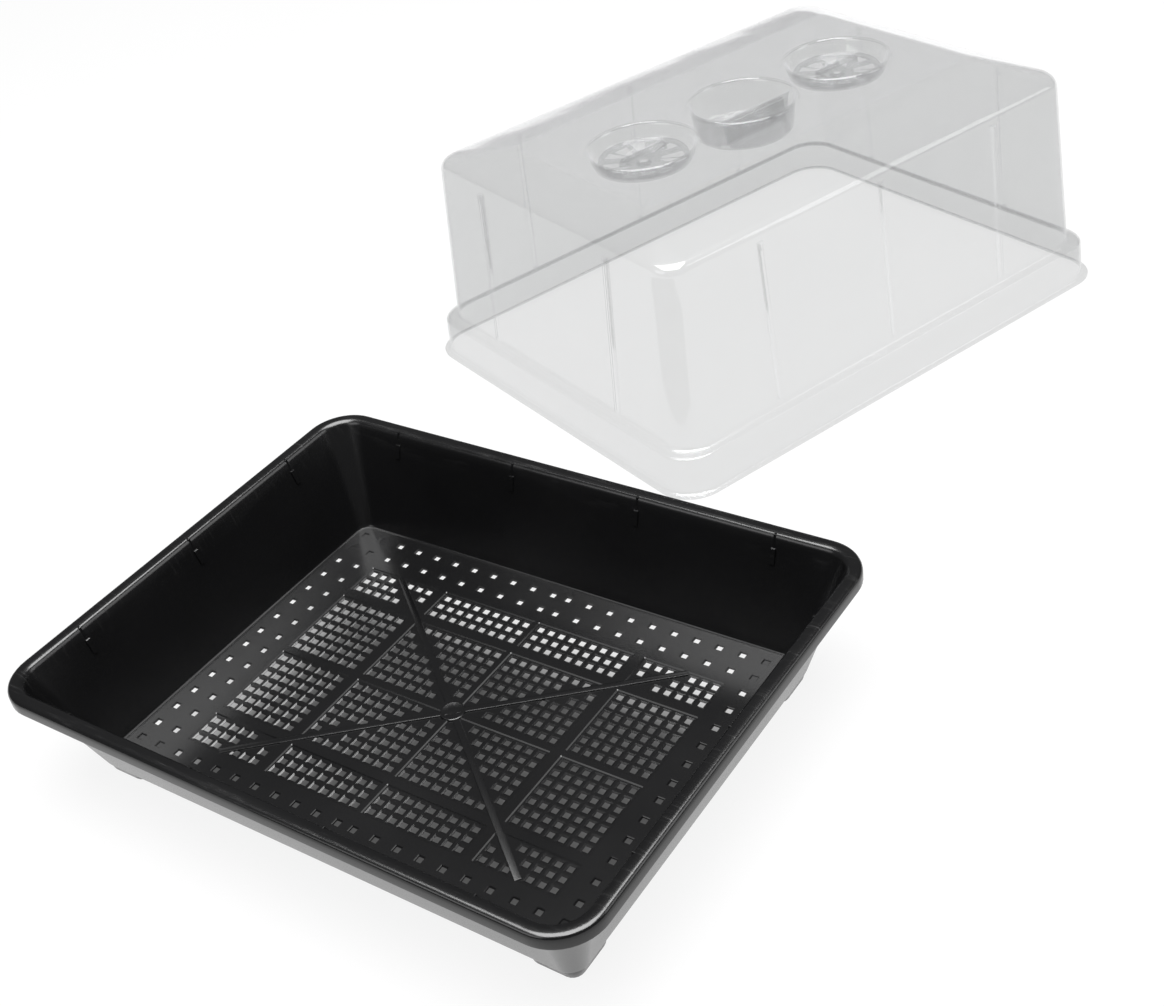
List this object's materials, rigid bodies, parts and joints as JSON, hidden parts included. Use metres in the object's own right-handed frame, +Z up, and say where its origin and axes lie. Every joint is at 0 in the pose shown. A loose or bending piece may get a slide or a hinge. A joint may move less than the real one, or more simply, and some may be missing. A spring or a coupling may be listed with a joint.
{
  "type": "humidity dome tray",
  "caption": "Shallow black seed tray with a perforated floor, and a tall clear dome with turning vent discs and a sunken grip that covers it to keep seedlings humid.",
  "frame": {"origin": "on the ground, under the middle of the box around the tray and the dome standing behind it", "axes": "+X along the tray's long side, +Y from the tray towards the dome, +Z up; the dome's long side is turned 20 degrees clockwise from +Y"},
  "size_m": [0.458, 0.8483, 0.1696],
  "materials": {
    "tray_plastic": "semi-gloss moulded black",
    "dome_clear": "glossy thin clear sheet",
    "vent_clear": "glossy clear moulding"
  },
  "bodies": {
    "tray": {"tray": "tray_plastic"},
    "dome": {"dome": "dome_clear"},
    "vent_left": {"vent_disc_left": "vent_clear"},
    "vent_right": {"vent_disc_right": "vent_clear"}
  },
  "joints": [
    {"name": "dome_lift", "type": "slide", "parent": "tray", "child": "dome", "axis": [0, 0, 1], "range_m": [0, 0.3]},
    {"name": "vent_left_turn", "type": "hinge", "parent": "dome", "child": "vent_left", "pos_m": [-0.05182, 0.10477, 0.158], "axis": [0, 0, 1], "range_deg": [0, 30]},
    {"name": "vent_right_turn", "type": "hinge", "parent": "dome", "child": "vent_right", "pos_m": [0.00974, 0.27391, 0.158], "axis": [0, 0, 1], "range_deg": [0, 30]}
  ]
}
